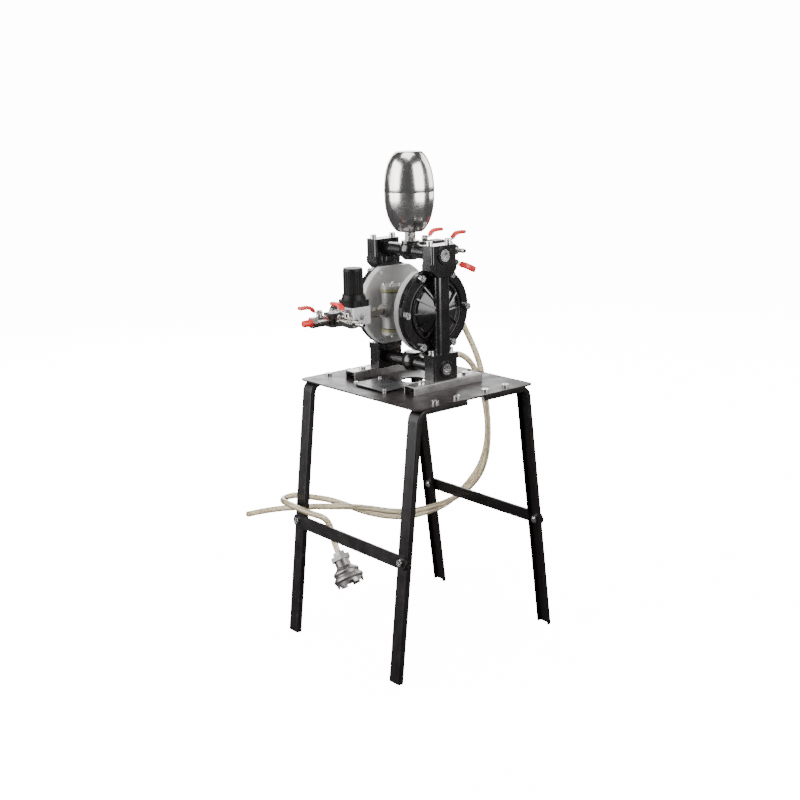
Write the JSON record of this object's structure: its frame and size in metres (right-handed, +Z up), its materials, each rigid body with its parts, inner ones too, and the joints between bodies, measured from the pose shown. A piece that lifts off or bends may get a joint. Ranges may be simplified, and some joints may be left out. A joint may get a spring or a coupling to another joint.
{
  "type": "air operated diaphragm pump",
  "caption": "Air operated double diaphragm pump on a four-legged steel stand, with surge tank, air regulator and gauge, five ball valves, return hose and suction hose with a foot strainer.",
  "frame": {"origin": "centre of the stand on the floor, midway between its four feet", "axes": "+X along the diaphragm shaft towards the front cover, +Y from the air side to the outlet side, +Z up"},
  "size_m": [0.5321, 0.4771, 0.9465],
  "materials": {
    "painted_plate": "gloss",
    "leg_paint": "satin",
    "galvanised": "satin",
    "bright_steel": "polished",
    "tank_steel": "polished",
    "cover_black": "gloss",
    "chamber_grey": "satin",
    "centre_grey": "satin",
    "cap_olive": "gloss",
    "rubber": "matte",
    "ptfe": "matte",
    "aluminium": "satin",
    "knob_black": "satin",
    "block_dark": "satin",
    "nickel": "polished",
    "lever_red": "satin",
    "dial_white": "matte",
    "clear_lens": "gloss",
    "hose_clear": "gloss",
    "zinc_cast": "satin",
    "tag_grey": "satin",
    "shaft_steel": "polished"
  },
  "bodies": {
    "pump_frame": {"base_plate": "painted_plate", "leg_left": "leg_paint", "leg_front": "leg_paint", "leg_back": "leg_paint", "leg_right": "leg_paint", "brace_near": "leg_paint", "brace_far": "leg_paint", "rail_rear": "galvanised", "rail_front": "galvanised", "stand_bolts": "bright_steel", "rail_bolts": "bright_steel", "small_screws": "bright_steel", "cover_bolts": "bright_steel", "manifold_bolts": "bright_steel", "port_plugs": "bright_steel", "tag_plate": "tag_grey", "centre_block": "centre_grey", "air_chamber_rear": "chamber_grey", "air_chamber_front": "chamber_grey", "cover_rear": "cover_black", "cover_front": "cover_black", "upper_manifold": "cover_black", "lower_manifold": "cover_black", "diaphragms": "rubber", "valve_gaskets": "rubber", "regulator_body": "aluminium", "valve_caps": "cap_olive", "ball_seats": "ptfe", "surge_tank": "tank_steel", "pipe_fittings": "nickel", "ball_valve_bodies": "nickel", "hose_tails": "nickel", "gauge_case": "nickel", "outlet_block": "block_dark", "air_block": "block_dark", "regulator_bonnet": "knob_black", "gauge_dial": "dial_white", "gauge_lens": "clear_lens", "inlet_cap": "lever_red", "return_hose": "hose_clear", "suction_hose": "hose_clear", "strainer_body": "zinc_cast", "strainer_screen": "bright_steel"},
    "diaphragm_drive": {"diaphragm_shaft": "shaft_steel", "diaphragm_discs": "shaft_steel"},
    "air_spool": {"valve_spool": "aluminium"},
    "forward_check_balls": {"check_balls_forward": "ptfe"},
    "back_check_balls": {"check_balls_back": "ptfe"},
    "pressure_knob": {"regulator_knob": "knob_black"},
    "needle": {"gauge_needle": "lever_red"},
    "outlet_valve_front_handle": {"outlet_valve_front_stem": "nickel", "outlet_valve_front_lever": "lever_red"},
    "outlet_valve_rear_handle": {"outlet_valve_rear_stem": "nickel", "outlet_valve_rear_lever": "lever_red"},
    "return_valve_handle": {"return_valve_stem": "nickel", "return_valve_lever": "lever_red"},
    "air_inlet_valve_handle": {"air_inlet_valve_stem": "nickel", "air_inlet_valve_lever": "lever_red"},
    "air_outlet_valve_handle": {"air_outlet_valve_stem": "nickel", "air_outlet_valve_lever": "lever_red"}
  },
  "joints": [
    {"name": "shaft_stroke", "type": "slide", "parent": "pump_frame", "child": "diaphragm_drive", "axis": [1, 0, 0], "range_m": [-0.005, 0.005], "deforming": ["diaphragms"]},
    {"name": "spool_shift", "type": "slide", "parent": "pump_frame", "child": "air_spool", "axis": [0, 0, 1], "range_m": [-0.008, 0.008]},
    {"name": "forward_ball_lift", "type": "slide", "parent": "pump_frame", "child": "forward_check_balls", "axis": [0, 0, 1], "range_m": [0, 0.004]},
    {"name": "back_ball_lift", "type": "slide", "parent": "pump_frame", "child": "back_check_balls", "axis": [0, 0, 1], "range_m": [0, 0.004]},
    {"name": "pressure_set", "type": "hinge", "parent": "pump_frame", "child": "pressure_knob", "pos_m": [-0.011, -0.134, 0.7], "axis": [0, 0, 1], "continuous": true},
    {"name": "gauge_reading", "type": "hinge", "parent": "pump_frame", "child": "needle", "pos_m": [-0.06, -0.134, 0.654], "axis": [1, 0, 0], "range_deg": [0, 270]},
    {"name": "outlet_valve_front_turn", "type": "hinge", "parent": "pump_frame", "child": "outlet_valve_front_handle", "pos_m": [0.022, 0.07, 0.7605], "axis": [0, 0, 1], "range_deg": [-90, 0]},
    {"name": "outlet_valve_rear_turn", "type": "hinge", "parent": "pump_frame", "child": "outlet_valve_rear_handle", "pos_m": [-0.044, 0.07, 0.7605], "axis": [0, 0, 1], "range_deg": [0, 90]},
    {"name": "return_valve_turn", "type": "hinge", "parent": "pump_frame", "child": "return_valve_handle", "pos_m": [-0.011, 0.104, 0.7305], "axis": [1, 0, 0], "range_deg": [-65, 25]},
    {"name": "air_inlet_valve_turn", "type": "hinge", "parent": "pump_frame", "child": "air_inlet_valve_handle", "pos_m": [-0.011, -0.213, 0.654], "axis": [0, 0, 1], "range_deg": [-90, 0]},
    {"name": "air_outlet_valve_turn", "type": "hinge", "parent": "pump_frame", "child": "air_outlet_valve_handle", "pos_m": [0.03, -0.182, 0.654], "axis": [0, 0, 1], "range_deg": [0, 90]}
  ]
}
